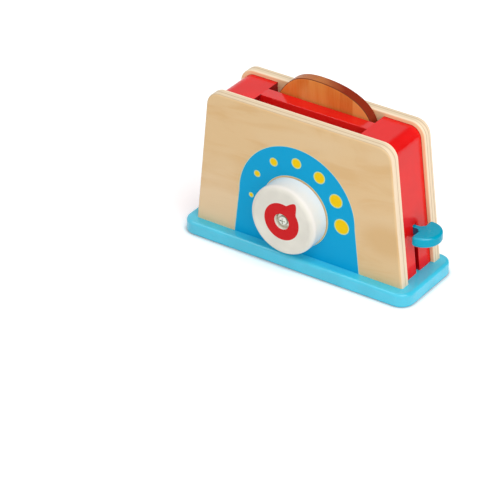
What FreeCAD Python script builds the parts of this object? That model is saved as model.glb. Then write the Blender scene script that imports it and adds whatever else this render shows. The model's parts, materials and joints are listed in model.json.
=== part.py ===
import FreeCAD, Part
import math
import os

# Wooden toy toaster: a base board, a painted core between two plywood side panels, a turning dial,
# and a see-saw lever that raises a lifter under the bread slots. Millimetres, +Z up.
# The origin is the centre of the base board's underside. The dial looks along -Y and the lever
# tab is at +X.

# Base board
baseLength = 240.0
baseWidth = 80.6
baseThickness = 13.2
baseCornerRadius = 13.0
baseTopEdgeRadius = 3.0
baseBottomEdgeRadius = 2.0

# Side panels, seen from the front as a hood that narrows upwards
panelHeight = 133.8
panelEndMargin = 10.5
panelLean = 14.4
panelThickness = 10.8
panelCornerRadius = 14.2
panelOuterEdgeRadius = 2.4
panelInnerEdgeRadius = 1.2

# Painted core between the panels
coreThickness = 42.3
coreSetBack = 1.75
coreTopInset = 3.7
coreSideInset = 3.8
coreCornerRadius = 11.6

# Bread slots and the divider between them
slotLength = 111.0
slotShift = -0.7
dividerThickness = 12.8
dividerSetBack = 0.45

# See-saw lever
armThickness = 4.6
armHeight = 9.8
armSideGap = 0.3
armTopGap = 1.5
pivotBossRadius = 8.0
pivotFromSlot = 10.2
pivotDrop = 7.4
pivotPinRadius = 2.5
pivotPinEndGap = 1.0
pivotHoleEndWall = 3.0
runningGap = 0.06
leverTravel = 24.0

# Lever tab
tabTopHeight = 45.1
tabWidth = 33.0
tabReach = 19.9
tabStandOff = 5.8
tabEdgeRadius = 2.4
tabCornerRadius = 3.0
tabSocketDepth = 11.0
tabShoulderLength = 2.0
tabShoulderWall = 0.5
tabShoulderRise = 3.0

# Lifter that carries the bread
barRadius = 4.0
barToArmGap = 0.3
restHeight = 10.0
restTopHeight = 33.8
restSideGap = 0.5
restEndGap = 1.5
stopLength = 16.0
notchTopGap = 0.8
armTipLength = 7.0
armPadLength = 8.0
notchSideGap = 6.0

# Bread slice, measured from the middle of its bottom edge
sliceThickness = 10.5
sliceBaseWidth = 88.6
sliceWaistWidth = 87.4
sliceWaistHeight = 53.0
sliceLobeWidth = 100.8
sliceLobeHeight = 82.0
sliceHeight = 117.4
sliceCrownShift = -4.0
sliceCornerRadius = 6.0
sliceEdgeRadius = 0.9
sliceShift = 1.6

# Dial
dialX = -2.3
dialHeight = 41.5
dialRadius = 33.6
dialThickness = 20.5
dialEdgeRadius = 5.0
dialBackEdgeRadius = 0.8
dialRecessRadius = 7.7
dialRecessDepth = 5.2
dialSpacerRadius = 12.0
dialSpacerThickness = 0.6
dialScrewRadius = 2.1
dialScrewHeadRadius = 4.6
dialScrewHeadHeight = 2.9
dialScrewCrownRadius = 1.7
dialScrewRecessReach = 2.8
dialScrewBite = 8.8
dialWasherRadius = 6.8
dialWasherThickness = 1.0
dialEndPlay = 0.05
holeEndGap = 0.5

# Dowels and base screws
dowelRadius = 4.0
dowelInPanel = 7.0
dowelInCore = 13.0
dowelEdgeMargin = 10.1
dowelHeights = (38.0, 102.0)
dividerDowelRadius = 3.0
dividerDowelLength = 30.0
dividerDowelHeights = (82.0, 112.0)
glueGap = 0.05
baseScrewRadius = 2.0
baseScrewLength = 39.0
baseScrewHeadRadius = 4.2
baseScrewHeadHeight = 2.6
baseScrewSink = 0.4
baseScrewTipLength = 4.0
baseScrewTipRadius = 0.2
baseScrewRecessReach = 2.5
baseScrewEdgeMargin = 15.1
baseScrewSpread = 12.0
recessWidth = 1.0
recessDepth = 1.4
cutPast = 1.0

# Places worked out from the sizes above
baseTop = baseThickness
panelTop = baseTop + panelHeight
panelBottomWidth = baseLength - 2 * panelEndMargin
panelTopWidth = panelBottomWidth - 2 * panelLean
coreTop = panelTop - coreTopInset
coreFront = coreSetBack - coreThickness / 2
coreBack = coreSetBack + coreThickness / 2
frontFace = coreFront - panelThickness
rearFace = coreBack + panelThickness
slotLeft = slotShift - slotLength / 2
slotRight = slotShift + slotLength / 2
leverY = coreSetBack + dividerSetBack
dividerFront = leverY - dividerThickness / 2
dividerBack = leverY + dividerThickness / 2
restTop = baseTop + restTopHeight
restBottom = restTop - restHeight
barX = slotShift
barHeight = restTop - restHeight / 2
tabTop = baseTop + tabTopHeight
tabBottom = tabTop - armHeight
armHalf = armThickness / 2
pivotX = slotRight + pivotFromSlot
pivotHeight = (tabTop + tabBottom) / 2 - pivotDrop
armReach = math.hypot(pivotX - barX, pivotHeight - barHeight)
armSlope = math.atan2(pivotHeight - barHeight, pivotX - barX)
liftHeight = (pivotX - barX) * (math.tan(armSlope) + math.tan(math.radians(leverTravel) - armSlope))
dialAxisHeight = baseTop + dialHeight
dialBack = frontFace - dialSpacerThickness - dialEndPlay
dialFront = dialBack - dialThickness
dialRecessFloor = dialFront + dialRecessDepth
dialWasherFront = dialRecessFloor - dialEndPlay - dialWasherThickness
dowelX = panelTopWidth / 2 - dowelEdgeMargin
baseScrewX = panelTopWidth / 2 - baseScrewEdgeMargin


def panelHalfWidth(height):
    share = (height - baseTop) / panelHeight
    return (panelBottomWidth + (panelTopWidth - panelBottomWidth) * share) / 2


def coreHalfWidth(height):
    return panelHalfWidth(height) - coreSideInset


tabFlatX = coreHalfWidth((tabTop + tabBottom) / 2) + tabStandOff


# Simple solids

def block(x0, x1, y0, y1, z0, z1):
    return Part.makeBox(x1 - x0, y1 - y0, z1 - z0, FreeCAD.Vector(x0, y0, z0))


def rodX(y, z, radius, x0, x1):
    return Part.makeCylinder(radius, x1 - x0, FreeCAD.Vector(x0, y, z), FreeCAD.Vector(1, 0, 0))


def rodY(x, z, radius, y0, y1):
    return Part.makeCylinder(radius, y1 - y0, FreeCAD.Vector(x, y0, z), FreeCAD.Vector(0, 1, 0))


def rodZ(x, y, radius, z0, z1):
    return Part.makeCylinder(radius, z1 - z0, FreeCAD.Vector(x, y, z0), FreeCAD.Vector(0, 0, 1))


def prismY(points, y0, y1):
    corners = [FreeCAD.Vector(x, y0, z) for x, z in points]
    outline = Part.makePolygon(corners + [corners[0]])
    return Part.Face(outline).extrude(FreeCAD.Vector(0, y1 - y0, 0))


def edgesWhere(shape, accept):
    return [edge for edge in shape.Edges if accept(edge.BoundBox)]


def near(value, target):
    return abs(value - target) < 0.001


# Base board

def baseScrewPlaces():
    places = []
    for x in (-baseScrewX, baseScrewX):
        for y in (coreSetBack - baseScrewSpread, coreSetBack + baseScrewSpread):
            places.append((x, y))
    return places


def makeBaseBoard():
    halfLength = baseLength / 2
    halfWidth = baseWidth / 2
    board = block(-halfLength, halfLength, -halfWidth, halfWidth, 0, baseTop)
    corners = edgesWhere(board, lambda b: b.XLength < 0.001 and b.YLength < 0.001)
    board = board.makeFillet(baseCornerRadius, corners)
    rim = edgesWhere(board, lambda b: near(b.ZMin, baseTop))
    board = board.makeFillet(baseTopEdgeRadius, rim)
    rim = edgesWhere(board, lambda b: near(b.ZMax, 0))
    board = board.makeFillet(baseBottomEdgeRadius, rim)
    for x, y in baseScrewPlaces():
        board = board.cut(rodZ(x, y, baseScrewRadius + glueGap, -cutPast, baseTop + cutPast))
        board = board.cut(baseScrewCone(x, y, glueGap))
        board = board.cut(rodZ(x, y, baseScrewHeadRadius + glueGap, -cutPast, baseScrewSink))
    return board


# Screws

def baseScrewCone(x, y, grow):
    place = FreeCAD.Vector(x, y, baseScrewSink)
    wide = baseScrewHeadRadius + grow
    narrow = baseScrewRadius + grow
    return Part.makeCone(wide, narrow, baseScrewHeadHeight, place, FreeCAD.Vector(0, 0, 1))


def makeBaseScrew(x, y):
    tipStart = baseScrewLength - baseScrewTipLength
    screw = baseScrewCone(x, y, 0)
    screw = screw.fuse(rodZ(x, y, baseScrewRadius, baseScrewSink, tipStart))
    tipPlace = FreeCAD.Vector(x, y, tipStart)
    up = FreeCAD.Vector(0, 0, 1)
    tip = Part.makeCone(baseScrewRadius, baseScrewTipRadius, baseScrewTipLength, tipPlace, up)
    screw = screw.fuse(tip).removeSplitter()
    arm = baseScrewRecessReach
    half = recessWidth / 2
    top = baseScrewSink + recessDepth
    screw = screw.cut(block(x - arm, x + arm, y - half, y + half, 0, top))
    return screw.cut(block(x - half, x + half, y - arm, y + arm, 0, top))


def makeDialScrew():
    x = dialX
    z = dialAxisHeight
    headFront = dialWasherFront - dialScrewHeadHeight
    head = rodY(x, z, dialScrewHeadRadius, headFront, dialWasherFront)
    crown = edgesWhere(head, lambda b: near(b.YMax, headFront) and b.XLength > dialScrewHeadRadius)
    head = head.makeFillet(dialScrewCrownRadius, crown)
    screw = head.fuse(rodY(x, z, dialScrewRadius, headFront + recessDepth, frontFace + dialScrewBite))
    arm = dialScrewRecessReach
    half = recessWidth / 2
    back = headFront + recessDepth
    front = headFront - cutPast
    screw = screw.cut(block(x - arm, x + arm, front, back, z - half, z + half))
    return screw.cut(block(x - half, x + half, front, back, z - arm, z + arm))


# Dowels between the panels and the core, and between the core blocks and the divider

def panelDowelPlaces():
    return [(x, baseTop + height) for x in (-dowelX, dowelX) for height in dowelHeights]


def panelDowels(join, side, grow):
    inPanel = dowelInPanel + (holeEndGap if grow else 0)
    inCore = dowelInCore + (holeEndGap if grow else 0)
    y0 = join - (inPanel if side == "front" else inCore)
    y1 = join + (inCore if side == "front" else inPanel)
    return [rodY(x, z, dowelRadius + grow, y0, y1) for x, z in panelDowelPlaces()]


def dividerDowels(grow):
    half = dividerDowelLength / 2 + (holeEndGap if grow else 0)
    dowels = []
    for x in (slotLeft, slotRight):
        for height in dividerDowelHeights:
            dowels.append(rodX(leverY, baseTop + height, dividerDowelRadius + grow, x - half, x + half))
    return dowels


def cutAll(shape, tools):
    for tool in tools:
        shape = shape.cut(tool)
    return shape


# Side panels

def makePanel(side):
    y0 = frontFace if side == "front" else coreBack
    y1 = y0 + panelThickness
    outerY = frontFace if side == "front" else rearFace
    innerY = coreFront if side == "front" else coreBack
    low = panelBottomWidth / 2
    high = panelTopWidth / 2
    outline = [(-low, baseTop), (low, baseTop), (high, panelTop), (-high, panelTop)]
    panel = prismY(outline, y0, y1)
    corners = edgesWhere(panel, lambda b: b.YLength > panelThickness / 2 and near(b.ZMax, panelTop))
    panel = panel.makeFillet(panelCornerRadius, corners)
    for faceY, radius in ((outerY, panelOuterEdgeRadius), (innerY, panelInnerEdgeRadius)):
        rim = edgesWhere(panel, lambda b: near(b.YMin, faceY) and near(b.YMax, faceY))
        rim = [edge for edge in rim if not near(edge.BoundBox.ZMax, baseTop)]
        panel = panel.makeFillet(radius, rim)
    return cutAll(panel, panelDowels(innerY, side, glueGap))


def makeFrontPanel():
    panel = makePanel("front")
    end = frontFace + dialScrewBite + holeEndGap
    return panel.cut(rodY(dialX, dialAxisHeight, dialScrewRadius + glueGap, frontFace - cutPast, end))


# Painted core

def makeCoreBlock(sign):
    inner = slotRight if sign > 0 else slotLeft
    low = sign * coreHalfWidth(baseTop)
    high = sign * coreHalfWidth(coreTop)
    outline = [(inner, baseTop), (low, baseTop), (high, coreTop), (inner, coreTop)]
    core = prismY(outline, coreFront, coreBack)
    corner = edgesWhere(core, lambda b: near(b.XMin, high) and near(b.XMax, high) and near(b.ZMax, coreTop))
    corner = [edge for edge in corner if edge.BoundBox.YLength > coreThickness / 2]
    core = core.makeFillet(coreCornerRadius, corner)
    core = cutAll(core, panelDowels(coreFront, "front", glueGap))
    core = cutAll(core, panelDowels(coreBack, "rear", glueGap))
    core = cutAll(core, dividerDowels(glueGap))
    for x, y in baseScrewPlaces():
        core = core.cut(rodZ(x, y, baseScrewRadius + glueGap, 0, baseScrewLength + holeEndGap))
    return core


def makeRightBlock():
    core = makeCoreBlock(1)
    half = armHalf + armSideGap
    x0 = slotRight - cutPast
    x1 = coreHalfWidth(baseTop) + cutPast
    core = core.cut(block(x0, x1, leverY - half, leverY + half, 0, tabTop + armTopGap))
    holeEnd = coreBack - pivotHoleEndWall
    return core.cut(rodY(pivotX, pivotHeight, pivotPinRadius + glueGap, coreFront - cutPast, holeEnd))


def makeDivider():
    board = block(slotLeft, slotRight, dividerFront, dividerBack, baseTop, coreTop)
    notchLeft = barX - armTipLength - notchSideGap
    notchTop = barHeight + liftHeight + barRadius + notchTopGap
    y0 = dividerFront - cutPast
    y1 = dividerBack + cutPast
    board = board.cut(block(notchLeft, slotRight + cutPast, y0, y1, 0, notchTop))
    return cutAll(board, dividerDowels(glueGap))


def makeStop(slot, end):
    y0 = coreFront if slot == "front" else dividerBack
    y1 = dividerFront if slot == "front" else coreBack
    x0 = slotLeft if end == "left" else slotRight - stopLength
    return block(x0, x0 + stopLength, y0, y1, baseTop, restBottom)


# See-saw lever

def armPoint(along, up):
    x = pivotX - along * math.cos(armSlope) - up * math.sin(armSlope)
    z = pivotHeight - along * math.sin(armSlope) + up * math.cos(armSlope)
    return (x, z)


def makeRockerArm():
    y0 = leverY - armHalf
    y1 = leverY + armHalf
    half = armHeight / 2
    padTop = -(barRadius + barToArmGap)
    padStart = armReach - armPadLength
    padEnd = armReach + armTipLength
    inner = [armPoint(0, half), armPoint(padStart, padTop), armPoint(padEnd, padTop)]
    inner += [armPoint(padEnd, padTop - armHeight), armPoint(padStart, padTop - armHeight), armPoint(0, -half)]
    neckX = coreHalfWidth(tabTop) - armHeight
    endX = tabFlatX + tabSocketDepth
    outer = [(pivotX, pivotHeight + half), (neckX, tabTop), (endX, tabTop)]
    outer += [(endX, tabBottom), (neckX, tabBottom), (pivotX, pivotHeight - half)]
    arm = prismY(inner, y0, y1).fuse(prismY(outer, y0, y1))
    arm = arm.fuse(rodY(pivotX, pivotHeight, pivotBossRadius, y0, y1)).removeSplitter()
    return arm.cut(rodY(pivotX, pivotHeight, pivotPinRadius + runningGap, y0 - cutPast, y1 + cutPast))


def makePivotPin():
    end = coreBack - pivotHoleEndWall - pivotPinEndGap
    return rodY(pivotX, pivotHeight, pivotPinRadius, coreFront + pivotPinEndGap, end)


def tabShoulder(sign):
    start = tabFlatX - tabShoulderLength
    end = tabFlatX + tabShoulderLength
    inner = leverY + sign * armHalf
    outer = inner + sign * (tabShoulderWall + tabShoulderLength)
    low = tabBottom + tabShoulderRise
    shoulder = block(start, end, min(inner, outer), max(inner, outer), low, tabTop)
    return shoulder.cut(rodZ(start, outer, tabShoulderLength, tabBottom - cutPast, tabTop + cutPast))


def makeLeverTab():
    noseRadius = tabWidth / 2
    noseX = tabFlatX + tabReach - noseRadius
    square = block(tabFlatX, noseX, leverY - noseRadius, leverY + noseRadius, tabBottom, tabTop)
    nose = rodZ(noseX, leverY, noseRadius, tabBottom, tabTop)
    nose = nose.cut(block(noseX - tabWidth, tabFlatX, leverY - tabWidth, leverY + tabWidth, tabBottom, tabTop))
    tab = square.fuse(nose).removeSplitter()
    corners = edgesWhere(tab, lambda b: near(b.XMax, tabFlatX) and b.ZLength > armHeight / 2)
    tab = tab.makeFillet(min(tabCornerRadius, (noseX - tabFlatX) * 0.95), corners)
    rim = edgesWhere(tab, lambda b: near(b.ZMin, b.ZMax))
    tab = tab.makeFillet(min(tabEdgeRadius, armHeight * 0.4), rim)
    tab = tab.fuse(tabShoulder(-1)).fuse(tabShoulder(1))
    half = armHalf + glueGap
    start = tabFlatX - tabShoulderLength - cutPast
    end = tabFlatX + tabSocketDepth + glueGap
    return tab.cut(block(start, end, leverY - half, leverY + half, tabBottom - cutPast, tabTop + cutPast))


# Lifter

def makeCrossbar():
    return rodY(barX, barHeight, barRadius, coreFront + restSideGap, coreBack - restSideGap)


def makeRest(slot):
    y0 = (coreFront if slot == "front" else dividerBack) + restSideGap
    y1 = (dividerFront if slot == "front" else coreBack) - restSideGap
    rest = block(slotLeft + restEndGap, slotRight - restEndGap, y0, y1, restBottom, restTop)
    return rest.cut(rodY(barX, barHeight, barRadius + glueGap, y0 - cutPast, y1 + cutPast))


# Bread slice

def makeSlice():
    middleX = slotShift + sliceShift
    middleY = (dividerBack + coreBack) / 2
    y0 = middleY - sliceThickness / 2
    base = sliceBaseWidth / 2
    waist = sliceWaistWidth / 2
    lobe = sliceLobeWidth / 2
    shoulder = lobe * 0.86
    rise = sliceHeight - sliceLobeHeight
    swell = ((waist + lobe) / 2, (sliceWaistHeight + sliceLobeHeight) / 2)
    low = sliceCornerRadius

    def point(x, z):
        return FreeCAD.Vector(middleX + x, y0, restTop + z)

    def corner(sign):
        middle = low * (1 - math.sqrt(0.5))
        ends = (point(sign * (base - low), 0), point(sign * base, low))
        return Part.Arc(ends[0], point(sign * (base - middle), middle), ends[1]).toShape()

    side = [(base, low), (waist, sliceWaistHeight), swell, (lobe, sliceLobeHeight)]
    side.append((shoulder, sliceLobeHeight + rise * 0.53))
    dome = [(lobe * 0.53, sliceLobeHeight + rise * 0.84), (sliceCrownShift, sliceHeight)]
    dome.append((-lobe * 0.6, sliceLobeHeight + rise * 0.88))
    otherSide = [(-x, z) for x, z in reversed(side)]
    up = FreeCAD.Vector(0, 0, 1)
    crust = Part.BSplineCurve()
    crust.interpolate([point(x, z) for x, z in side + dome + otherSide], InitialTangent=up, FinalTangent=-up)
    flat = Part.LineSegment(point(low - base, 0), point(base - low, 0)).toShape()
    outline = Part.Wire([flat, corner(1), crust.toShape(), corner(-1)])
    bread = Part.Face(outline).extrude(FreeCAD.Vector(0, sliceThickness, 0))
    rims = edgesWhere(bread, lambda b: b.YLength < 0.001)
    return bread.makeFillet(sliceEdgeRadius, rims)


# Dial

def makeDial():
    x = dialX
    z = dialAxisHeight
    dial = rodY(x, z, dialRadius, dialFront, dialBack)
    front = edgesWhere(dial, lambda b: near(b.YMax, dialFront) and b.XLength > dialRadius)
    dial = dial.makeFillet(dialEdgeRadius, front)
    back = edgesWhere(dial, lambda b: near(b.YMin, dialBack) and b.XLength > dialRadius)
    dial = dial.makeFillet(dialBackEdgeRadius, back)
    dial = dial.cut(rodY(x, z, dialRecessRadius, dialFront - cutPast, dialRecessFloor))
    return dial.cut(rodY(x, z, dialScrewRadius + runningGap, dialFront, dialBack + cutPast))


def makeDialWasher():
    x = dialX
    z = dialAxisHeight
    washer = rodY(x, z, dialWasherRadius, dialWasherFront, dialWasherFront + dialWasherThickness)
    y0 = dialWasherFront - cutPast
    y1 = dialRecessFloor + cutPast
    return washer.cut(rodY(x, z, dialScrewRadius + runningGap, y0, y1))


def makeDialSpacer():
    x = dialX
    z = dialAxisHeight
    spacerFront = frontFace - dialSpacerThickness
    spacer = rodY(x, z, dialSpacerRadius, spacerFront, frontFace)
    hole = rodY(x, z, dialScrewRadius + runningGap, spacerFront - cutPast, frontFace + cutPast)
    return spacer.cut(hole)


def makePieces():
    pieces = {}
    pieces["base_board"] = makeBaseBoard()
    pieces["front_panel"] = makeFrontPanel()
    pieces["rear_panel"] = makePanel("rear")
    pieces["left_core_block"] = makeCoreBlock(-1)
    pieces["right_core_block"] = makeRightBlock()
    pieces["centre_divider"] = makeDivider()
    for slot in ("front", "rear"):
        for end in ("left", "right"):
            pieces[slot + "_stop_" + end] = makeStop(slot, end)
        pieces[slot + "_bread_rest"] = makeRest(slot)
    pieces["front_panel_dowels"] = Part.makeCompound(panelDowels(coreFront, "front", 0))
    pieces["rear_panel_dowels"] = Part.makeCompound(panelDowels(coreBack, "rear", 0))
    pieces["divider_dowels"] = Part.makeCompound(dividerDowels(0))
    pieces["base_screws"] = Part.makeCompound([makeBaseScrew(x, y) for x, y in baseScrewPlaces()])
    pieces["rocker_arm"] = makeRockerArm()
    pieces["lever_tab"] = makeLeverTab()
    pieces["pivot_pin"] = makePivotPin()
    pieces["lifter_crossbar"] = makeCrossbar()
    pieces["bread_slice"] = makeSlice()
    pieces["dial"] = makeDial()
    pieces["dial_spacer"] = makeDialSpacer()
    pieces["dial_washer"] = makeDialWasher()
    pieces["dial_screw"] = makeDialScrew()
    return pieces


os.makedirs("parts", exist_ok=True)
for name, shape in makePieces().items():
    shape.exportStep(os.path.join("parts", name + ".step"))
print("pivot", round(pivotX, 3), round(leverY, 3), round(pivotHeight, 3), "lift", round(liftHeight, 3))
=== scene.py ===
import bpy
import json
import math
from mathutils import Matrix, Vector

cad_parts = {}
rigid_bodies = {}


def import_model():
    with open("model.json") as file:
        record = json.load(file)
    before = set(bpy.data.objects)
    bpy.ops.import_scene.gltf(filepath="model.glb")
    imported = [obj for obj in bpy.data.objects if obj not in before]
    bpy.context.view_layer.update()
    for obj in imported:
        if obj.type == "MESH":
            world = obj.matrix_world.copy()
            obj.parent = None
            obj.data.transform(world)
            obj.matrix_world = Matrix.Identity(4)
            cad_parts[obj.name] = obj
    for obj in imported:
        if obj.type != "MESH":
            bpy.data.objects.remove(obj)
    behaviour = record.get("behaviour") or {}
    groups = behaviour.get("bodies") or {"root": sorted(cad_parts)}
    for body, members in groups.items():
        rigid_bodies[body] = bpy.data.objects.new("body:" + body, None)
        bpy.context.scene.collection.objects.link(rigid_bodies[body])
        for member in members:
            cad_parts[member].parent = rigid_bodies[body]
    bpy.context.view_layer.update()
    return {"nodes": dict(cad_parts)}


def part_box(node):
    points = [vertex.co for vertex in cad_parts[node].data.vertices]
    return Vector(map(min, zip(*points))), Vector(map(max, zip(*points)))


for leftover in list(bpy.data.objects):
    bpy.data.objects.remove(leftover)

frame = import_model()
nodes = frame["nodes"]
scene = bpy.context.scene
perMetre = 1000     # millimetres
print("frame loaded,", len(nodes), "pieces")


class Board:
    # a node tree with short ways to add and join its nodes

    def __init__(self, tree):
        self.tree = tree
        self.tree.nodes.clear()

    def add(self, kind, **settings):
        node = self.tree.nodes.new(kind)
        for name, value in settings.items():
            setattr(node, name, value)
        return node

    def put(self, socket, value):
        if isinstance(value, bpy.types.NodeSocket):
            self.tree.links.new(value, socket)
        elif isinstance(value, tuple) and len(value) == 3 and len(socket.default_value) == 4:
            socket.default_value = (*value, 1)
        else:
            socket.default_value = value

    def fill(self, node, values):
        for name, value in values.items():
            self.put(node.inputs[name], value)
        return node

    def calc(self, operation, first, second=0.0, third=0.0):
        node = self.add("ShaderNodeMath", operation=operation)
        for socket, value in zip(node.inputs, (first, second, third)):
            self.put(socket, value)
        return node.outputs[0]

    def product(self, *factors):
        total = factors[0]
        for factor in factors[1:]:
            total = self.calc("MULTIPLY", total, factor)
        return total

    def away(self, value, middle):
        return self.calc("ABSOLUTE", self.calc("SUBTRACT", value, middle))

    def length(self, across, up):
        return self.calc("SQRT", self.calc("MULTIPLY_ADD", across, across, self.product(up, up)))

    def split(self, vector):
        node = self.add("ShaderNodeSeparateXYZ")
        self.put(node.inputs[0], vector)
        return node.outputs


class Finish(Board):
    # a material; its place is the piece's own, in millimetres

    def __init__(self, name):
        self.material = bpy.data.materials.new(name)
        self.material.use_nodes = True
        super().__init__(self.material.node_tree)
        self.coords = self.add("ShaderNodeTexCoord").outputs
        self.place = self.stretched(self.coords["Object"], (perMetre,) * 3)
        self.x, self.y, self.z = self.split(self.place)

    def facing(self, axis):
        # how squarely the surface faces along an axis, whichever way
        return self.calc("ABSOLUTE", self.split(self.coords["Normal"])["XYZ".index(axis)])

    def step(self, value, low, high, start=0.0, end=1.0):
        # goes softly from start to end while value goes from low to high
        node = self.add("ShaderNodeMapRange", interpolation_type="SMOOTHSTEP")
        self.fill(node, {"Value": value, "From Min": low, "From Max": high, "To Min": start, "To Max": end})
        return node.outputs[0]

    def stretched(self, vector, scale, shift=(0, 0, 0)):
        node = self.add("ShaderNodeMapping")
        self.fill(node, {"Vector": vector, "Location": shift, "Scale": scale})
        return node.outputs[0]

    def turned(self, degrees):
        # the place turned about Y, for grain that doesn't run square to the board
        node = self.add("ShaderNodeVectorRotate", rotation_type="Y_AXIS")
        self.fill(node, {"Vector": self.place, "Angle": math.radians(degrees)})
        return node.outputs[0]

    def noise(self, scale, shift=(0, 0, 0), detail=2.0, roughness=0.5, distortion=0.0, place=None):
        node = self.add("ShaderNodeTexNoise")
        vector = self.stretched(place or self.place, scale, shift)
        self.fill(node, {"Vector": vector, "Scale": 1.0, "Detail": detail, "Roughness": roughness,
                         "Distortion": distortion})
        return node.outputs[0]

    def blend(self, share, first, second):
        # a colour that goes from first to second
        node = self.add("ShaderNodeMix", data_type="RGBA")
        for number, value in ((0, share), (6, first), (7, second)):     # the sockets for colours
            self.put(node.inputs[number], value)
        return node.outputs[2]

    def between(self, share, first, second):
        # a plain number that goes from first to second
        node = self.add("ShaderNodeMix")
        for number, value in ((0, share), (2, first), (3, second)):
            self.put(node.inputs[number], value)
        return node.outputs[0]

    def wornGloss(self, value, look, gloss=None):
        # a roughness that wanders with value, less and more than the middle one as the look says
        middle = look["gloss"] if gloss is None else gloss
        return self.step(value, *look["glossRange"], middle - look["glossLess"], middle + look["glossMore"])

    def bump(self, height, depth, before=None):
        # depth in metres for a height of 1
        node = self.add("ShaderNodeBump")
        self.fill(node, {"Strength": 1.0, "Distance": depth, "Height": height})
        if before is not None:
            self.put(node.inputs["Normal"], before)
        return node.outputs[0]

    def surface(self, colour, roughness, normal=None, **settings):
        shader = self.add("ShaderNodeBsdfPrincipled")
        self.fill(shader, {"Base Color": colour, "Roughness": roughness})
        self.fill(shader, {name.replace("_", " "): value for name, value in settings.items()})
        if normal is not None:
            self.put(shader.inputs["Normal"], normal)
        self.put(self.add("ShaderNodeOutputMaterial").inputs[0], shader.outputs[0])
        return self.material


def dress(names, finish):
    for name in names:
        slots = nodes[name].data.materials
        if len(slots):
            slots[0] = finish
        else:
            slots.append(finish)


def middleOf(name):
    low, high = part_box(name)
    return (low + high) / 2


def inMillimetres(value):
    return perMetre * value


slotLeft = inMillimetres(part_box("centre_divider")[0].x)
slotRight = inMillimetres(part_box("centre_divider")[1].x)
leverMiddle = inMillimetres(middleOf("rocker_arm").y)


# lengths are in millimetres here and in the next dictionaries, unless a note says metres; a pair called
# a range gives the two values between which one look turns to the next, and three numbers called a grain
# say how fast it changes for each millimetre along X, Y and Z
paint = {
    "red": (0.85, 0.009, 0.009),
    "footPaintedLight": (0.99, 0.005, 0.005),    # painted light: a brighter red towards the blocks' foot
    "footLightRange": (18.0, 66.0),          # heights between which it runs out
    "slotEndShade": (0.30, 0.002, 0.006),    # painted shade on the end walls of the bread slots
    "slotMargin": 0.4,                  # how far it reaches past the divider's ends
    "squareRange": (0.8, 0.9),          # how squarely a wall has to face along X to be an end wall
    "kerfShade": (0.50, 0.002, 0.004),       # painted shade inside the lever's saw cut
    "kerfHalf": 2.7,                    # half its width
    "kerfAboveArm": 1.6,
    "seamShade": (0.36, 0.004, 0.005),       # painted shade where the core meets the panels
    "seamWidth": 1.5,
    "seamShare": 0.85,
    "edgeBlur": 0.1,                    # soft edge of each of these areas
    "redShine": 0.24,
    "baseBlue": (0.055, 0.63, 0.86),
    "baseShine": 0.7,
    "tabBlue": (0.0, 0.41, 0.60),
    "tabInnerShade": (0.03, 0.12, 0.24), # painted shade on the tab's inner face and the arm's sides
    "tabInnerDepth": 2.2,               # how far behind the tab's inner end that face reaches
    "tabInnerBlur": 0.3,
    "tabFaceRange": (0.5, 0.8),         # from upright walls to level faces
    "tabRimRange": (0.25, 0.5),         # from its upright edge to its rounded rim
    "tabTopRange": (0.93, 0.98),        # from its rounded rim to its top
    "tabShine": 0.15,
    "tabGloss": 0.11,
    "gloss": 0.16,                      # roughness of the dry paint
    "glossLess": 0.03,                  # how far it wanders down and up
    "glossMore": 0.05,
    "glossRange": (0.25, 0.75),
    "orangePeel": 0.000012,             # height of the sprayed skin, metres
    "peelGrain": (0.9, 0.9, 0.9),
    "grainThrough": 0.000018,           # height of the wood grain under the paint, metres
    "mottle": 0.1,                      # how far the colour wanders
    "mottleRange": (0.3, 0.7),
    "cloudGrain": (0.035, 0.035, 0.035),
}

alongX = (0.03, 0.9, 0.9)               # grain of boards that run along X
alongZ = (0.9, 0.9, 0.03)


def paintSkin(finish, colour, woodGrain, shift=(0, 0, 0), gloss=None):
    # sprayed paint over wood: a wandering colour, a faint skin, and the grain showing through it
    cloud = finish.noise(paint["cloudGrain"], shift, detail=3)
    darker = tuple(value * (1 - paint["mottle"]) for value in colour)
    tone = finish.blend(finish.step(cloud, *paint["mottleRange"]), darker, colour)
    grain = finish.noise(woodGrain, shift, detail=4, roughness=0.6)
    peel = finish.noise(paint["peelGrain"])
    skin = finish.bump(peel, paint["orangePeel"], finish.bump(grain, paint["grainThrough"]))
    return tone, finish.wornGloss(cloud, paint, gloss), skin


def paintFinish(name, colour, woodGrain, shift=(0, 0, 0), **settings):
    finish = Finish(name)
    tone, rough, skin = paintSkin(finish, colour, woodGrain, shift)
    return finish.surface(tone, rough, skin, **settings)


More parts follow.
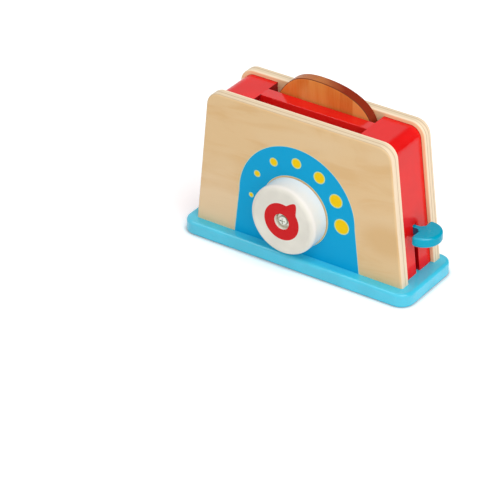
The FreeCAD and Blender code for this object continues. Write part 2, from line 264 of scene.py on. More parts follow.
def coreFinish(name, shift):
    # the core's blocks: gloss paint outside, painted shade on the slots' end walls, in the lever's saw cut
    # and along the joints with the panels, and painted light towards their foot
    finish = Finish(name)
    blur = paint["edgeBlur"]
    tone, rough, skin = paintSkin(finish, paint["red"], alongX, shift)
    # painted light: the red grows brighter towards the blocks' foot
    tone = finish.blend(finish.step(finish.z, *paint["footLightRange"], 1.0, 0.0), tone, paint["footPaintedLight"])
    slotFrom = slotLeft - paint["slotMargin"]
    slotTo = slotRight + paint["slotMargin"]
    atSlot = finish.product(finish.step(finish.x, slotFrom - blur, slotFrom),
                            finish.step(finish.x, slotTo, slotTo + blur, 1.0, 0.0))
    # painted shade: the slots' end walls darkened
    slotEndShade = finish.product(atSlot, finish.step(finish.facing("X"), *paint["squareRange"]))
    tone = finish.blend(slotEndShade, tone, paint["slotEndShade"])
    coreFront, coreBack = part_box("left_core_block")
    inset = finish.calc("MINIMUM", finish.away(finish.y, inMillimetres(coreFront.y)),
                        finish.away(finish.y, inMillimetres(coreBack.y)))
    # painted shade along the joints with the panels
    seamShade = finish.step(inset, blur, paint["seamWidth"], paint["seamShare"], 0.0)
    tone = finish.blend(seamShade, tone, paint["seamShade"])
    kerfHalf = paint["kerfHalf"]
    kerfTop = inMillimetres(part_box("rocker_arm")[1].z) + paint["kerfAboveArm"]
    fromLever = finish.away(finish.y, leverMiddle)
    # painted shade inside the lever's saw cut
    kerfShade = finish.product(finish.step(fromLever, kerfHalf - blur, kerfHalf + blur, 1.0, 0.0),
                          finish.step(finish.x, slotTo + blur, slotTo + 2 * blur),
                          finish.step(finish.z, kerfTop, kerfTop + blur, 1.0, 0.0))
    tone = finish.blend(kerfShade, tone, paint["kerfShade"])
    return finish.surface(tone, rough, skin, Specular_IOR_Level=paint["redShine"])


def tabFinish():
    # painted shade on its inner face, and clear lacquer on its rounded rim
    finish = Finish("blueTabPaint")
    tone, rough, skin = paintSkin(finish, paint["tabBlue"], alongX, (4, 1, 8), paint["tabGloss"])
    innerTo = inMillimetres(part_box("lever_tab")[0].x) + paint["tabInnerDepth"]
    level = finish.facing("Z")
    innerShade = finish.product(finish.step(finish.x, innerTo, innerTo + paint["tabInnerBlur"], 1.0, 0.0),
                           finish.step(level, *paint["tabFaceRange"], 1.0, 0.0))
    tone = finish.blend(innerShade, tone, paint["tabInnerShade"])
    rim = finish.product(finish.step(level, *paint["tabRimRange"]),
                         finish.step(level, *paint["tabTopRange"], 1.0, 0.0))
    return finish.surface(tone, rough, skin, Specular_IOR_Level=paint["tabShine"], Coat_Weight=rim,
                          Coat_Roughness=paint["tabGloss"])


dress(["left_core_block"], coreFinish("redPaintLeft", (0, 0, 0)))
dress(["right_core_block"], coreFinish("redPaintRight", (0, 0, 0)))
dress(["centre_divider"], paintFinish("redPaintDivider", paint["red"], alongX))
dress(["front_bread_rest", "rear_bread_rest"],
      paintFinish("redPaintRests", paint["red"], alongX, (7, 3, 5)))
dress([slot + "_stop_" + end for slot in ("front", "rear") for end in ("left", "right")],
      paintFinish("redPaintStops", paint["red"], alongZ, (2, 9, 4)))
dress(["base_board"], paintFinish("blueBasePaint", paint["baseBlue"], alongX, (1, 6, 2),
                                  Specular_IOR_Level=paint["baseShine"]))
dress(["lever_tab"], tabFinish())
print("paint done")


plywood = {
    "face": (0.815, 0.567, 0.303),      # lacquered birch veneer
    "faceDark": (0.775, 0.505, 0.245),  # its darker figure
    "facePale": (0.825, 0.595, 0.34),
    "figureGrain": (0.014, 0.2, 0.055),
    "figureRange": (0.42, 0.68),
    "paleGrain": (0.012, 0.03, 0.03),
    "paleRange": (0.45, 0.75),
    "patches": (                        # soft patches of the veneer: middle, reach, colour, share
        ((-84.0, 30.0), (62.0, 52.0), (0.86, 0.64, 0.40), 0.9),
        ((92.0, 56.0), (30.0, 20.0), (0.745, 0.485, 0.23), 0.85)),
    "patchRange": (0.7, 1.5),           # shares of a patch's reach over which it fades
    "patchWave": 0.8,                   # how far the figure bends its edge
    "fineGrain": (0.05, 1.5, 2.4),
    "fineRange": (0.5, 0.85),
    "fineShare": 0.35,
    "poreGrain": (0.5, 4.0, 7.0),
    "poreRange": (0.7, 0.8),
    "poreShare": 0.28,
    "topEdge": (0.84, 0.68, 0.47),      # plies as the top and bottom edges show them
    "sideEdge": (0.93, 0.75, 0.54),     # and as the side edges do
    # the inner ply, painted paler as a highlight along the panel's inner edge
    "innerPlyAndHighlight": (0.98, 0.80, 0.58),
    # the inner face, paler than the veneer: painted light on that shaded face
    "innerFacePaintedLight": (0.98, 0.69, 0.40),
    "endGrain": (0.66, 0.46, 0.27),
    "glueLine": (0.50, 0.33, 0.18),
    "veneerRange": (0.55, 0.9),         # depths from the outer face
    "innerPlyRange": (8.3, 8.9),
    "innerFaceRange": (0.2, 0.1),       # and from the inner face
    "streakGrain": (0.06, 5.0, 0.06),
    "streakRange": (0.45, 0.8),
    "streakShare": 0.3,
    "topLines": (1.0, 4.9),             # dark glue lines on the top edge
    "frontSideLines": (5.9,),
    "rearSideLines": (4.2, 8.3),
    "glueRange": (0.1, 0.7),            # distances from a glue line over which it fades
    "glueShare": 0.7,
    "layerGrain": (0.05, 0.05, 0.05),
    "layerWander": 0.25,                # how far the plies wander to both sides
    "grainTurn": 7.0,                   # degrees that the veneer's figure runs off the board's length
    "gloss": 0.34,
    "glossLess": 0.04,
    "glossMore": 0.1,
    "glossRange": (0.3, 0.8),
    "lacquer": 0.12,                    # how strongly the lacquer shines
    "fineRelief": 0.6,                  # shares of the fine grain and of the pores in the relief
    "poreRelief": 0.4,
    "relief": 0.00003,                  # metres
}


def veneerFace(finish, shift):
    # rotary-cut veneer: long soft figure, fine grain and short pores, all nearly along X
    place = finish.turned(plywood["grainTurn"])
    pale = finish.noise(plywood["paleGrain"], shift, place=place)
    figure = finish.noise(plywood["figureGrain"], shift, detail=5, distortion=1.2, place=place)
    fine = finish.noise(plywood["fineGrain"], shift, detail=4, roughness=0.65, place=place)
    pores = finish.noise(plywood["poreGrain"], shift, detail=1, place=place)
    face = finish.blend(finish.step(figure, *plywood["figureRange"]), plywood["face"], plywood["faceDark"])
    face = finish.blend(finish.step(pale, *plywood["paleRange"]), face, plywood["facePale"])
    for (middleX, middleZ), (reachX, reachZ), colour, share in plywood["patches"]:
        across = finish.product(finish.calc("SUBTRACT", finish.x, middleX), 1 / reachX)
        up = finish.product(finish.calc("SUBTRACT", finish.z, middleZ), 1 / reachZ)
        wavy = finish.calc("MULTIPLY_ADD", figure, plywood["patchWave"], finish.length(across, up))
        face = finish.blend(finish.step(wavy, *plywood["patchRange"], share, 0.0), face, colour)
    darker = finish.step(fine, *plywood["fineRange"], 0.0, plywood["fineShare"])
    face = finish.blend(darker, face, plywood["faceDark"])
    pits = finish.step(pores, *plywood["poreRange"], 0.0, plywood["poreShare"])
    face = finish.blend(pits, face, plywood["glueLine"])
    return face, fine, pores


def plyEdges(finish, layer, sideLines, shift):
    # the plies seen on the edges; the top edge and the side edges show different glue lines
    sideways = finish.facing("X")
    streaks = finish.noise(plywood["streakGrain"], shift, detail=3, roughness=0.6)
    ply = finish.blend(sideways, plywood["topEdge"], plywood["sideEdge"])
    # the inner ply paler: partly its own tone, partly a painted highlight on the inner edge
    ply = finish.blend(finish.step(layer, *plywood["innerPlyRange"]), ply, plywood["innerPlyAndHighlight"])
    darker = finish.step(streaks, *plywood["streakRange"], 0.0, plywood["streakShare"])
    ply = finish.blend(darker, ply, plywood["endGrain"])
    glue = 0.0
    for lines, share in ((plywood["topLines"], finish.facing("Z")), (sideLines, sideways)):
        for line in lines:
            near = finish.step(finish.away(layer, line), *plywood["glueRange"], plywood["glueShare"], 0.0)
            glue = finish.calc("MAXIMUM", glue, finish.product(near, share))
    return finish.blend(glue, ply, plywood["glueLine"])


dialPrint = {
    "blue": (0.0, 0.385, 0.71),
    "yellow": (0.95, 0.63, 0.0),
    "middle": (-0.94, 56.9),        # of the arch, in the frame's X and Z
    "turn": 0.56,                   # degrees that the print stands askew, clockwise
    "archRadius": 61.0,
    "legFlare": 0.118,              # how much wider the legs get for each millimetre down
    "blankRadius": 34.7,            # bare ring round the dial
    "dotsShift": (-0.3, -1.1),      # from the arch's middle to that of the row of dots
    "dotsRadius": 47.8,
    "smallestDot": 2.05,            # radius of the dot at the left
    "largestDot": 7.2,
    "dotCount": 7,
    "ground": (0.70, 0.77, 0.50),   # pale ground under the inks
    "dotRim": (0.62, 0.77, 0.31),   # the same where a thin yellow runs over it, round each dot
    "groundEdge": 0.45,             # how far it shows beside them
    "blur": 0.1,                    # soft edge of the ink
    "ragged": 0.08,                 # how far the ink's edge wanders
    "raggedGrain": (1.4, 1.4, 1.4),
    "inkRough": 0.1,                # how much duller the inks are than the lacquer
}


def distance(finish, x, z, atX, atZ):
    return finish.length(finish.calc("SUBTRACT", x, atX), finish.calc("SUBTRACT", z, atZ))


def dotPlaces():
    places = []
    for number in range(dialPrint["dotCount"]):
        share = number / (dialPrint["dotCount"] - 1)
        turn = math.pi * (1 - share)
        radius = dialPrint["smallestDot"] + (dialPrint["largestDot"] - dialPrint["smallestDot"]) * share
        places.append((dialPrint["dotsShift"][0] + dialPrint["dotsRadius"] * math.cos(turn),
                       dialPrint["dotsShift"][1] + dialPrint["dotsRadius"] * math.sin(turn), radius))
    return places


def inkInside(finish, reach, radius):
    return finish.step(reach, radius - dialPrint["blur"], radius + dialPrint["blur"], 1.0, 0.0)


def inkOutside(finish, reach, radius):
    return finish.step(reach, radius - dialPrint["blur"], radius + dialPrint["blur"])


def printOn(finish, wood, depth):
    # the blue arch with its row of dots, inked on the outer veneer only
    turn = math.radians(dialPrint["turn"])
    across = finish.calc("SUBTRACT", finish.x, dialPrint["middle"][0])
    up = finish.calc("SUBTRACT", finish.z, dialPrint["middle"][1])
    x = finish.calc("MULTIPLY_ADD", across, math.cos(turn), finish.product(up, -math.sin(turn)))
    z = finish.calc("MULTIPLY_ADD", across, math.sin(turn), finish.product(up, math.cos(turn)))
    wander = finish.noise(dialPrint["raggedGrain"])
    ragged = finish.calc("MULTIPLY_ADD", wander, 2 * dialPrint["ragged"], -dialPrint["ragged"])

    below = finish.calc("MAXIMUM", finish.product(z, -1.0), 0.0)
    leg = finish.calc("MULTIPLY_ADD", below, -dialPrint["legFlare"], finish.calc("ABSOLUTE", x))
    above = finish.calc("GREATER_THAN", z, 0.0)
    edge = finish.between(above, leg, distance(finish, x, z, 0.0, 0.0))
    edge = finish.calc("ADD", edge, ragged)
    blue = inkInside(finish, edge, dialPrint["archRadius"])
    axis = middleOf("dial")
    hub = distance(finish, finish.x, finish.z, inMillimetres(axis.x), inMillimetres(axis.z))
    hub = finish.calc("ADD", hub, ragged)
    blue = finish.product(blue, inkOutside(finish, hub, dialPrint["blankRadius"]))
    ground = finish.product(inkInside(finish, edge, dialPrint["archRadius"] + dialPrint["groundEdge"]),
                            inkOutside(finish, hub, dialPrint["blankRadius"] - dialPrint["groundEdge"]))
    yellow = 0.0
    rims = 0.0
    for dotX, dotZ, radius in dotPlaces():
        reach = finish.calc("ADD", distance(finish, x, z, dotX, dotZ), ragged)
        blue = finish.product(blue, inkOutside(finish, reach, radius + dialPrint["groundEdge"]))
        rims = finish.calc("MAXIMUM", rims, inkInside(finish, reach, radius + dialPrint["groundEdge"]))
        dot = inkInside(finish, reach, radius - dialPrint["groundEdge"])
        yellow = finish.calc("MAXIMUM", yellow, dot)
    flat = inkInside(finish, depth, dialPrint["blur"])
    ground = finish.product(ground, flat)
    inked = finish.blend(ground, wood, dialPrint["ground"])
    inked = finish.blend(finish.product(rims, flat), inked, dialPrint["dotRim"])
    inked = finish.blend(finish.product(blue, flat), inked, dialPrint["blue"])
    inked = finish.blend(finish.product(yellow, flat), inked, dialPrint["yellow"])
    return inked, ground


def plywoodFinish(name, outerFace, thickness, sideLines, shift, printed):
    # outerFace: the y of the panel's outer face, in metres as its thickness is
    finish = Finish(name)
    depth = finish.away(finish.y, inMillimetres(outerFace))
    face, fine, pores = veneerFace(finish, shift)
    wander = finish.noise(plywood["layerGrain"], shift)
    wander = finish.calc("MULTIPLY_ADD", wander, 2 * plywood["layerWander"], -plywood["layerWander"])
    layer = finish.calc("ADD", depth, wander)
    ply = plyEdges(finish, layer, sideLines, shift)
    wood = finish.blend(finish.step(layer, *plywood["veneerRange"]), face, ply)
    innerFrom, innerTo = (inMillimetres(thickness) - inset for inset in plywood["innerFaceRange"])
    # painted light: the inner face paler than the veneer
    wood = finish.blend(finish.step(depth, innerFrom, innerTo), wood, plywood["innerFacePaintedLight"])
    rough = finish.wornGloss(fine, plywood)
    if printed:
        wood, ink = printOn(finish, wood, depth)
        rough = finish.calc("MULTIPLY_ADD", ink, dialPrint["inkRough"], rough)
    height = finish.calc("MULTIPLY_ADD", fine, plywood["fineRelief"],
                         finish.product(pores, plywood["poreRelief"]))
    relief = finish.bump(height, plywood["relief"])
    return finish.surface(wood, rough, relief, Specular_IOR_Level=plywood["lacquer"])


frontLow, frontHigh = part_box("front_panel")
rearLow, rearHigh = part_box("rear_panel")
dress(["front_panel"], plywoodFinish("plywoodFront", frontLow.y, frontHigh.y - frontLow.y,
                                     plywood["frontSideLines"], (3.1, 0, 1.7), True))
dress(["rear_panel"], plywoodFinish("plywoodRear", rearHigh.y, rearHigh.y - rearLow.y,
                                    plywood["rearSideLines"], (8.4, 0, 6.2), False))
print("plywood done")


dial = {
    "white": (0.86, 0.835, 0.745),
    # painted light: the side whiter than the face, and whiter still towards the panel, where the panel
    # shades it
    "sidePaintedLight": (0.89, 0.86, 0.815),
    "backPaintedLight": (0.99, 0.96, 0.91),
    "red": (0.66, 0.002, 0.006),
    # painted light: the recess's wall and foot made pale to lift their shade
    "recessRim": (0.90, 0.87, 0.78),
    "recessDeep": (0.84, 0.79, 0.66),
    "recessShadeBrown": (0.44, 0.27, 0.12),
    "recessGrain": (0.3, 3, 3),
    "ringRadius": 18.1,             # from the axis
    "ringDepth": (0.3, 0.4),        # depths behind the face over which the ring's red ends
    "recessRadius": 7.7,
    "recessBlur": 0.15,
    "recessDepth": (0.25, 0.6),     # and over which the recess's own paint starts
    "recessRough": 0.6,
    "deepFrom": 3.0,                # depth where the paint thins out
    "deepBlur": 1.5,
    "deepWave": 2.0,                # how far the grain moves that line
    "shadeFrom": 2.2,                # height above the axis where the foot's painted shade starts
    "shadeBlur": 3.0,
    "shadeWave": 3.0,
    "nosePeak": (16.6, 26.2),       # where the flanks of its nose would meet, from the axis in X and Z
    "noseFlanks": (-6.7, 127.0),    # degrees from +X that the two flanks look towards
    "noseRounding": 11.3,
    "noseFillet": 1.6,
    "edgeBlur": 0.12,
    "roundedFrom": 0.4,             # depths behind the face, where its white turns to that of the side
    "roundedTo": 3.0,
    "shine": 0.15,                  # specular level of the white and the red
}


def ringShape(finish, x, z, fromAxis):
    # distance outside the ring and its nose, a wedge between two flanks that starts at the axis
    peak = Vector(dial["nosePeak"])
    flanks = []
    for degrees in dial["noseFlanks"]:
        out = Vector((math.cos(math.radians(degrees)), math.sin(math.radians(degrees))))
        height = finish.calc("MULTIPLY_ADD", z, out.y, -peak.dot(out))
        flanks.append(finish.calc("MULTIPLY_ADD", x, out.x, height))
    wedge = finish.calc("SMOOTH_MAX", *flanks, dial["noseRounding"])
    back = -peak.normalized()
    behind = finish.calc("MULTIPLY_ADD", x, back.x, finish.product(z, back.y))
    wedge = finish.calc("MAXIMUM", wedge, behind)
    ring = finish.calc("SUBTRACT", fromAxis, dial["ringRadius"])
    return finish.calc("SMOOTH_MIN", ring, wedge, dial["noseFillet"])


def dialFinish():
    finish = Finish("dialPaint")
    axis = middleOf("dial")
    x = finish.calc("SUBTRACT", finish.x, inMillimetres(axis.x))
    z = finish.calc("SUBTRACT", finish.z, inMillimetres(axis.z))
    depth = finish.calc("SUBTRACT", finish.y, inMillimetres(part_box("dial")[0].y))
    fromAxis = distance(finish, x, z, 0.0, 0.0)
    outside = ringShape(finish, x, z, fromAxis)
    ring = finish.product(finish.step(outside, -dial["edgeBlur"], dial["edgeBlur"], 1.0, 0.0),
                          finish.step(depth, *dial["ringDepth"], 1.0, 0.0))
    tone, rough, skin = paintSkin(finish, dial["white"], alongX, (5, 2, 9))
    behind = inMillimetres(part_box("dial")[1].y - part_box("dial")[0].y)
    # painted light on the dial's side, growing towards the panel
    side = finish.blend(finish.step(depth, dial["roundedTo"], behind), dial["sidePaintedLight"], dial["backPaintedLight"])
    tone = finish.blend(finish.step(depth, dial["roundedFrom"], dial["roundedTo"]), tone, side)
    colour = finish.blend(ring, tone, dial["red"])

    # the recess: pale paint, and painted shade on its foot above the axis, under the rim
    recessTo = dial["recessRadius"] + dial["recessBlur"]
    recess = finish.product(finish.step(fromAxis, dial["recessRadius"], recessTo, 1.0, 0.0),
                            finish.step(depth, *dial["recessDepth"]))
    grain = finish.noise(dial["recessGrain"], detail=3)
    wavyDepth = finish.calc("MULTIPLY_ADD", grain, dial["deepWave"], depth)
    deep = finish.step(wavyDepth, dial["deepFrom"], dial["deepFrom"] + dial["deepBlur"])
    wavyHeight = finish.calc("MULTIPLY_ADD", grain, dial["shadeWave"], z)
    upperShade = finish.step(wavyHeight, dial["shadeFrom"], dial["shadeFrom"] + dial["shadeBlur"])
    foot = finish.blend(upperShade, dial["recessDeep"], dial["recessShadeBrown"])
    colour = finish.blend(recess, colour, finish.blend(deep, dial["recessRim"], foot))
    rough = finish.between(recess, rough, dial["recessRough"])
    return finish.surface(colour, rough, skin, Specular_IOR_Level=dial["shine"])


dress(["dial"], dialFinish())
print("dial done")


toast = {
    "crumb": (0.82, 0.29, 0.060),
    "crumbDark": (0.74, 0.19, 0.030),
    "crumbPale": (0.82, 0.37, 0.11),
    "bandGrain": (0.045, 0.02, 0.006),
    "bandRange": (0.35, 0.65),      # from the dark bands to the plain crumb
    "cloudGrain": (0.06, 0.06, 0.03),
    "paleRange": (0.45, 0.75),
    "paleShare": 0.6,
    "boards": (-28.0, 17.0, 30.5),  # x of the glue lines between the boards of the crumb
    "boardTones": ((0.80, 0.20, 0.032), None, (0.68, 0.15, 0.024), (0.87, 0.36, 0.10)),
    "boardShare": 0.75,
    "boardBlur": 0.9,               # half the width over which one board's tone turns to the next
    "fineGrain": (1.8, 1.5, 0.06),
    "fineRange": (0.4, 0.8),
    "fineShare": 0.3,
    "crust": (0.28, 0.026, 0.007),
    # painted highlight on the crust towards the left
    "crustHighlight": (0.55, 0.17, 0.034),
    "crustRange": (-12.0, 26.0),    # x where the crust goes from its painted highlight to dark
    "patchRange": (0.4, 0.6),       # patches that are darker still
    "patchShare": 0.25,
    "streakRange": (0.45, 0.8),
    "rim": (0.15, 0.026, 0.007),    # burnt line on both edges of the crust
    "rimRange": (0.1, 0.6),         # how squarely a surface faces along Y where it starts
    "faceRange": (0.88, 0.97),      # and where it gives way to the crumb
    "gloss": 0.3,
    "glossLess": 0.05,
    "glossMore": 0.1,
    "glossRange": (0.3, 0.8),
    "shine": 0.13,
    "relief": 0.00003,              # metres
}


def crumbBoards(finish, crumb):
    # the crumb is a few boards side by side, each stained a little differently
    lines = toast["boards"]
    blur = toast["boardBlur"]
    for number, tone in enumerate(toast["boardTones"]):
        if tone is None:
            continue
        share = toast["boardShare"]
        if number > 0:
            line = lines[number - 1]
            share = finish.product(share, finish.step(finish.x, line - blur, line + blur))
        if number < len(lines):
            line = lines[number]
            share = finish.product(share, finish.step(finish.x, line - blur, line + blur, 1.0, 0.0))
        crumb = finish.blend(share, crumb, tone)
    return crumb


def toastFinish():
    finish = Finish("toastStain")
    facing = finish.facing("Y")
    bands = finish.noise(toast["bandGrain"], (2.2, 0, 0), distortion=0.6)
    fine = finish.noise(toast["fineGrain"], detail=4, roughness=0.65)
    clouds = finish.noise(toast["cloudGrain"], (5, 1, 3), detail=3)
    crumb = finish.blend(finish.step(bands, *toast["bandRange"]), toast["crumbDark"], toast["crumb"])
    crumb = crumbBoards(finish, crumb)
    paler = finish.step(clouds, *toast["paleRange"], 0.0, toast["paleShare"])
    crumb = finish.blend(paler, crumb, toast["crumbPale"])
    paler = finish.step(fine, *toast["fineRange"], 0.0, toast["fineShare"])
    crumb = finish.blend(paler, crumb, toast["crumbPale"])
    # painted highlight: the crust paler to the left, darker to the right
    turned = finish.step(finish.x, *toast["crustRange"])
    patches = finish.step(clouds, *toast["patchRange"])
    patchy = finish.calc("MULTIPLY_ADD", patches, toast["patchShare"], turned)
    crust = finish.blend(finish.calc("MINIMUM", patchy, 1.0), toast["crustHighlight"], toast["crust"])
    streaks = finish.step(fine, *toast["streakRange"], 0.0, toast["fineShare"])
    crust = finish.blend(streaks, crust, toast["rim"])
    crust = finish.blend(finish.step(facing, *toast["rimRange"]), crust, toast["rim"])
    colour = finish.blend(finish.step(facing, *toast["faceRange"]), crust, crumb)
    rough = finish.wornGloss(fine, toast)
    relief = finish.bump(fine, toast["relief"])
    return finish.surface(colour, rough, relief, Specular_IOR_Level=toast["shine"])


dress(["bread_slice"], toastFinish())
print("bread slice done")


plainWood = {
    "pale": (0.80, 0.63, 0.41),
    "dark": (0.63, 0.44, 0.25),
    "grainRange": (0.35, 0.7),
    "finer": 4,                 # how much finer its streaks are than its grain
    "fineRange": (0.55, 0.8),
    "fineShare": 0.4,
    "gloss": 0.55,
    "glossLess": 0.0,
    "glossMore": 0.12,
    "glossRange": (0.3, 0.7),
    "shine": 0.25,
    "relief": 0.00004,          # metres
    "paintedFrom": 98.5,        # outside this x the arm is painted with its tab
    "paintedBlur": 0.4,
    "armSideRange": (0.6, 0.8), # how squarely a face looks along Y where it is the arm's side
}


def plainWoodFinish(name, woodGrain, painted=False):
    finish = Finish(name)
    grain = finish.noise(woodGrain, detail=4, roughness=0.6)
    fine = finish.noise(tuple(plainWood["finer"] * value for value in woodGrain))
    wood = finish.blend(finish.step(grain, *plainWood["grainRange"]), plainWood["pale"], plainWood["dark"])
    streaks = finish.step(fine, *plainWood["fineRange"], 0.0, plainWood["fineShare"])
    wood = finish.blend(streaks, wood, plainWood["dark"])
    relief = finish.bump(finish.calc("ADD", grain, fine), plainWood["relief"])
    rough = finish.wornGloss(grain, plainWood)
    if painted:
        tone, gloss, relief = paintSkin(finish, paint["tabBlue"], alongX)
        # painted shade on the arm's sides beside the tab
        side = finish.step(finish.facing("Y"), *plainWood["armSideRange"])
        tone = finish.blend(side, tone, paint["tabInnerShade"])
        paintedFrom = plainWood["paintedFrom"]
        edge = finish.step(finish.x, paintedFrom, paintedFrom + plainWood["paintedBlur"])
        wood = finish.blend(edge, wood, tone)
        rough = finish.between(edge, rough, gloss)
    return finish.surface(wood, rough, relief, Specular_IOR_Level=plainWood["shine"])


metal = {
    "zinc": (0.70, 0.72, 0.66),
    "zincDark": (0.52, 0.54, 0.48),
    "spangleGrain": (1.2, 1.2, 1.2),
    "spangleRange": (0.35, 0.65),
    "spangleShare": 0.5,
    "gloss": 0.34,
    "glossLess": 0.06,
    "glossMore": 0.12,
    "glossRange": (0.3, 0.7),
    "scratchGrain": (9, 9, 0.8),
    "scratchDepth": 0.00001,    # metres
    "fibre": (0.52, 0.38, 0.24),
    "fibreDark": (0.36, 0.25, 0.15),
    "fleckGrain": (1.6, 1.6, 1.6),
    "fleckRange": (0.35, 0.7),
    "fibreRough": 0.8,
    "fibreRelief": 0.00006,     # metres
}


def zincFinish():
    finish = Finish("zincPlate")
    spangle = finish.noise(metal["spangleGrain"], detail=3)
    scratches = finish.noise(metal["scratchGrain"], detail=3)
    darker = finish.step(spangle, *metal["spangleRange"], 0.0, metal["spangleShare"])
    tone = finish.blend(darker, metal["zinc"], metal["zincDark"])
    rough = finish.wornGloss(scratches, metal)
    return finish.surface(tone, rough, finish.bump(scratches, metal["scratchDepth"]), Metallic=1.0)


def fibreFinish():
    finish = Finish("pressedFibre")
    fleck = finish.noise(metal["fleckGrain"], detail=5, roughness=0.7)
    tone = finish.blend(finish.step(fleck, *metal["fleckRange"]), metal["fibre"], metal["fibreDark"])
    return finish.surface(tone, metal["fibreRough"], finish.bump(fleck, metal["fibreRelief"]))


dress(["rocker_arm"], plainWoodFinish("armWood", (0.05, 0.8, 1.2), True))
dress(["lifter_crossbar", "front_panel_dowels", "rear_panel_dowels"],
      plainWoodFinish("rodWood", (1.0, 0.06, 1.0)))
dress(["divider_dowels"], plainWoodFinish("dowelWood", (0.06, 1.0, 1.0)))
dress(["base_screws", "dial_screw", "dial_washer", "pivot_pin"], zincFinish())
dress(["dial_spacer"], fibreFinish())
print("small parts done")


softEdges = {
    "widths": {                     # of each piece's rounding, metres
        "left_core_block": 0.0006,
        "right_core_block": 0.0006,
        "centre_divider": 0.0006,
        "front_bread_rest": 0.0005,
        "rear_bread_rest": 0.0005,
        "rocker_arm": 0.0003,
    },
    "segments": 3,
    "sharpFrom": 40,                # degrees between two faces that make a sharp edge
    "seamReach": 0.0001,            # metres; an edge this close to a glued joint's plane stays sharp
    "weldReach": 0.000002,          # metres
}


def edgeChooser(name, seams):
    # weights the edges to be rounded: the sharp ones that don't lie in a glued joint's plane
    group = bpy.data.node_groups.new(name, "GeometryNodeTree")
    group.interface.new_socket("Geometry", in_out="INPUT", socket_type="NodeSocketGeometry")
    group.interface.new_socket("Geometry", in_out="OUTPUT", socket_type="NodeSocketGeometry")
    board = Board(group)
    angle = board.add("GeometryNodeInputMeshEdgeAngle").outputs["Unsigned Angle"]
    ends = board.add("GeometryNodeInputMeshEdgeVertices")
    first = board.split(ends.outputs["Position 1"])
    second = board.split(ends.outputs["Position 2"])
    weight = board.calc("GREATER_THAN", angle, math.radians(softEdges["sharpFrom"]))
    for axis, value in seams:
        off = board.calc("MAXIMUM", board.away(first[axis], value), board.away(second[axis], value))
        weight = board.product(weight, board.calc("GREATER_THAN", off, softEdges["seamReach"]))
    store = board.add("GeometryNodeStoreNamedAttribute", data_type="FLOAT", domain="EDGE")
    source = board.add("NodeGroupInput").outputs[0]
    board.fill(store, {"Geometry": source, "Name": "bevel_weight_edge", "Value": weight})
    board.put(board.add("NodeGroupOutput").inputs[0], store.outputs[0])
    return group


def softenEdges(name, width, chooser):
    weld = nodes[name].modifiers.new("weld", "WELD")
    weld.merge_threshold = softEdges["weldReach"]
    choose = nodes[name].modifiers.new("chooseEdges", "NODES")
    choose.node_group = chooser
    bevel = nodes[name].modifiers.new("softEdge", "BEVEL")
    bevel.width = width
    bevel.segments = softEdges["segments"]
    bevel.limit_method = "WEIGHT"
    bevel.use_clamp_overlap = False
    bevel.harden_normals = True


dividerFrom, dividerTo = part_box("centre_divider")
blockFrom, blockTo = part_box("left_core_block")
coreSeams = [(0, dividerFrom.x), (0, dividerTo.x), (1, blockFrom.y), (1, blockTo.y), (2, blockFrom.z)]
glued = edgeChooser("gluedCoreEdges", coreSeams)
loose = edgeChooser("looseEdges", [])
for name, width in softEdges["widths"].items():
    softenEdges(name, width, glued if name.startswith(("left", "right", "centre")) else loose)
print("edges softened")


# lengths are in metres from here on
studio = {
    "skyLow": 0.46,             # the sky's light away from its bright side
    "skyRise": 0.50,            # how much brighter it is at its bright side
    "skyTowards": (0.55, -0.12, 0.82),
    "keyPower": 9.0,            # watts
    "keySize": 1.5,
    "keyTowards": (0.54, -0.40, 0.76),
    "keyAway": 1.5,
    "floorSize": 3.0,
    "floorTone": 0.86,          # what the floor sends back to the toaster
    "floorSeen": 1.30,          # the same floor as the camera sees it, white but for the contact shadow
    "contactReach": 0.007,
    "contactRange": (0.5, 0.85),
    "contactTone": 0.6,         # share of the floor's tone that is left right at the base
    "contactSamples": 8,
    "gap": {                    # between the white cards that glossy paint shows
        "towards": (0.53, 0.69, 0.49),
        "range": (0.45, 0.76),  # cosines from that direction at its edge and in its middle
        "light": (1.0, 0.0),    # light at its edge and in its middle
    },
    "glint": {                  # a small bright card that shows on rounded edges
        "towards": (-0.47, -0.35, 0.81),
        "range": (0.95, 0.985),
        "light": (0.0, 1.7),
    },
}


def makeFloor():
    mesh = bpy.data.meshes.new("floor")
    size = studio["floorSize"]
    corners = [(-size, -size, 0), (size, -size, 0), (size, size, 0), (-size, size, 0)]
    mesh.from_pydata(corners, [], [(0, 1, 2, 3)])
    floor = bpy.data.objects.new("floor", mesh)
    scene.collection.objects.link(floor)
    finish = Finish("floorPaper")
    path = finish.add("ShaderNodeLightPath").outputs
    seen = finish.calc("MAXIMUM", path["Is Camera Ray"], path["Is Transmission Ray"])
    seen = finish.calc("MAXIMUM", seen, path["Is Glossy Ray"])
    contact = finish.add("ShaderNodeAmbientOcclusion", samples=studio["contactSamples"])
    contact.inputs["Distance"].default_value = studio["contactReach"]
    deepest = studio["contactTone"] * studio["floorSeen"]
    shade = finish.step(contact.outputs["AO"], *studio["contactRange"], deepest, studio["floorSeen"])
    matt = finish.add("ShaderNodeBsdfDiffuse")
    finish.put(matt.inputs["Color"], finish.between(seen, studio["floorTone"], shade))
    finish.put(finish.add("ShaderNodeOutputMaterial").inputs[0], matt.outputs[0])
    mesh.materials.append(finish.material)


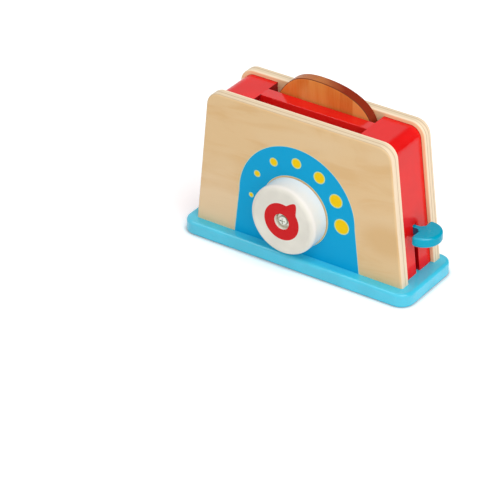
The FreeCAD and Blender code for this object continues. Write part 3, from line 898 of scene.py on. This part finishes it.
def makeWorld():
    world = bpy.data.worlds.new("studio")
    world.use_nodes = True
    scene.world = world
    sky = Board(world.node_tree)
    coords = sky.add("ShaderNodeTexCoord").outputs["Generated"]
    path = sky.add("ShaderNodeLightPath").outputs

    def towards(direction):
        dot = sky.add("ShaderNodeVectorMath", operation="DOT_PRODUCT")
        sky.put(dot.inputs[0], coords)
        sky.put(dot.inputs[1], Vector(direction).normalized())
        return dot.outputs["Value"]

    def card(look):
        fade = sky.add("ShaderNodeMapRange")
        (low, high), (start, end) = look["range"], look["light"]
        sky.fill(fade, {"Value": towards(look["towards"]), "From Min": low, "From Max": high,
                        "To Min": start, "To Max": end})
        return fade.outputs[0]

    cards = sky.calc("ADD", card(studio["gap"]), card(studio["glint"]))
    rise = sky.calc("MAXIMUM", towards(studio["skyTowards"]), 0.0)
    light = sky.calc("MULTIPLY_ADD", rise, studio["skyRise"], studio["skyLow"])
    glossy = sky.product(path["Is Glossy Ray"], cards)
    straight = sky.calc("MAXIMUM", path["Is Camera Ray"], path["Is Transmission Ray"])
    other = sky.calc("SUBTRACT", 1.0, sky.calc("MAXIMUM", straight, path["Is Glossy Ray"]))
    strength = sky.calc("ADD", straight, sky.calc("MULTIPLY_ADD", other, light, glossy))
    background = sky.add("ShaderNodeBackground")
    sky.fill(background, {"Color": (1.0, 1.0, 1.0), "Strength": strength})
    sky.put(sky.add("ShaderNodeOutputWorld").inputs[0], background.outputs[0])


def makeKeyLight():
    lamp = bpy.data.lights.new("key", "AREA")
    lamp.shape = "DISK"
    lamp.size = studio["keySize"]
    lamp.energy = studio["keyPower"]
    light = bpy.data.objects.new("key", lamp)
    scene.collection.objects.link(light)
    target = middleOf("centre_divider")
    place = target + Vector(studio["keyTowards"]).normalized() * studio["keyAway"]
    turn = (target - place).to_track_quat("-Z", "Y").to_matrix().to_4x4()
    light.matrix_world = Matrix.Translation(place) @ turn


view = {
    "place": (1.14096, -1.72021, 1.28279),
    "yaw": 35.198,              # degrees, as pitch and roll are
    "pitch": -31.852,
    "roll": -0.689,
    "lens": 195.39,             # millimetres, as the sensor is
    "sensor": 36,
    "clipEnd": 20,
}


def makeCamera():
    data = bpy.data.cameras.new("camera")
    data.lens = view["lens"]
    data.sensor_width = view["sensor"]
    data.clip_end = view["clipEnd"]
    camera = bpy.data.objects.new("camera", data)
    scene.collection.objects.link(camera)
    turn = Matrix.Rotation(math.radians(view["yaw"]), 4, "Z")
    turn = turn @ Matrix.Rotation(math.radians(90 + view["pitch"]), 4, "X")
    turn = turn @ Matrix.Rotation(math.radians(view["roll"]), 4, "Z")
    camera.matrix_world = Matrix.Translation(view["place"]) @ turn
    scene.camera = camera


makeFloor()
makeWorld()
makeKeyLight()
makeCamera()
scene.view_settings.view_transform = "Standard"
print("floor, light and camera done")
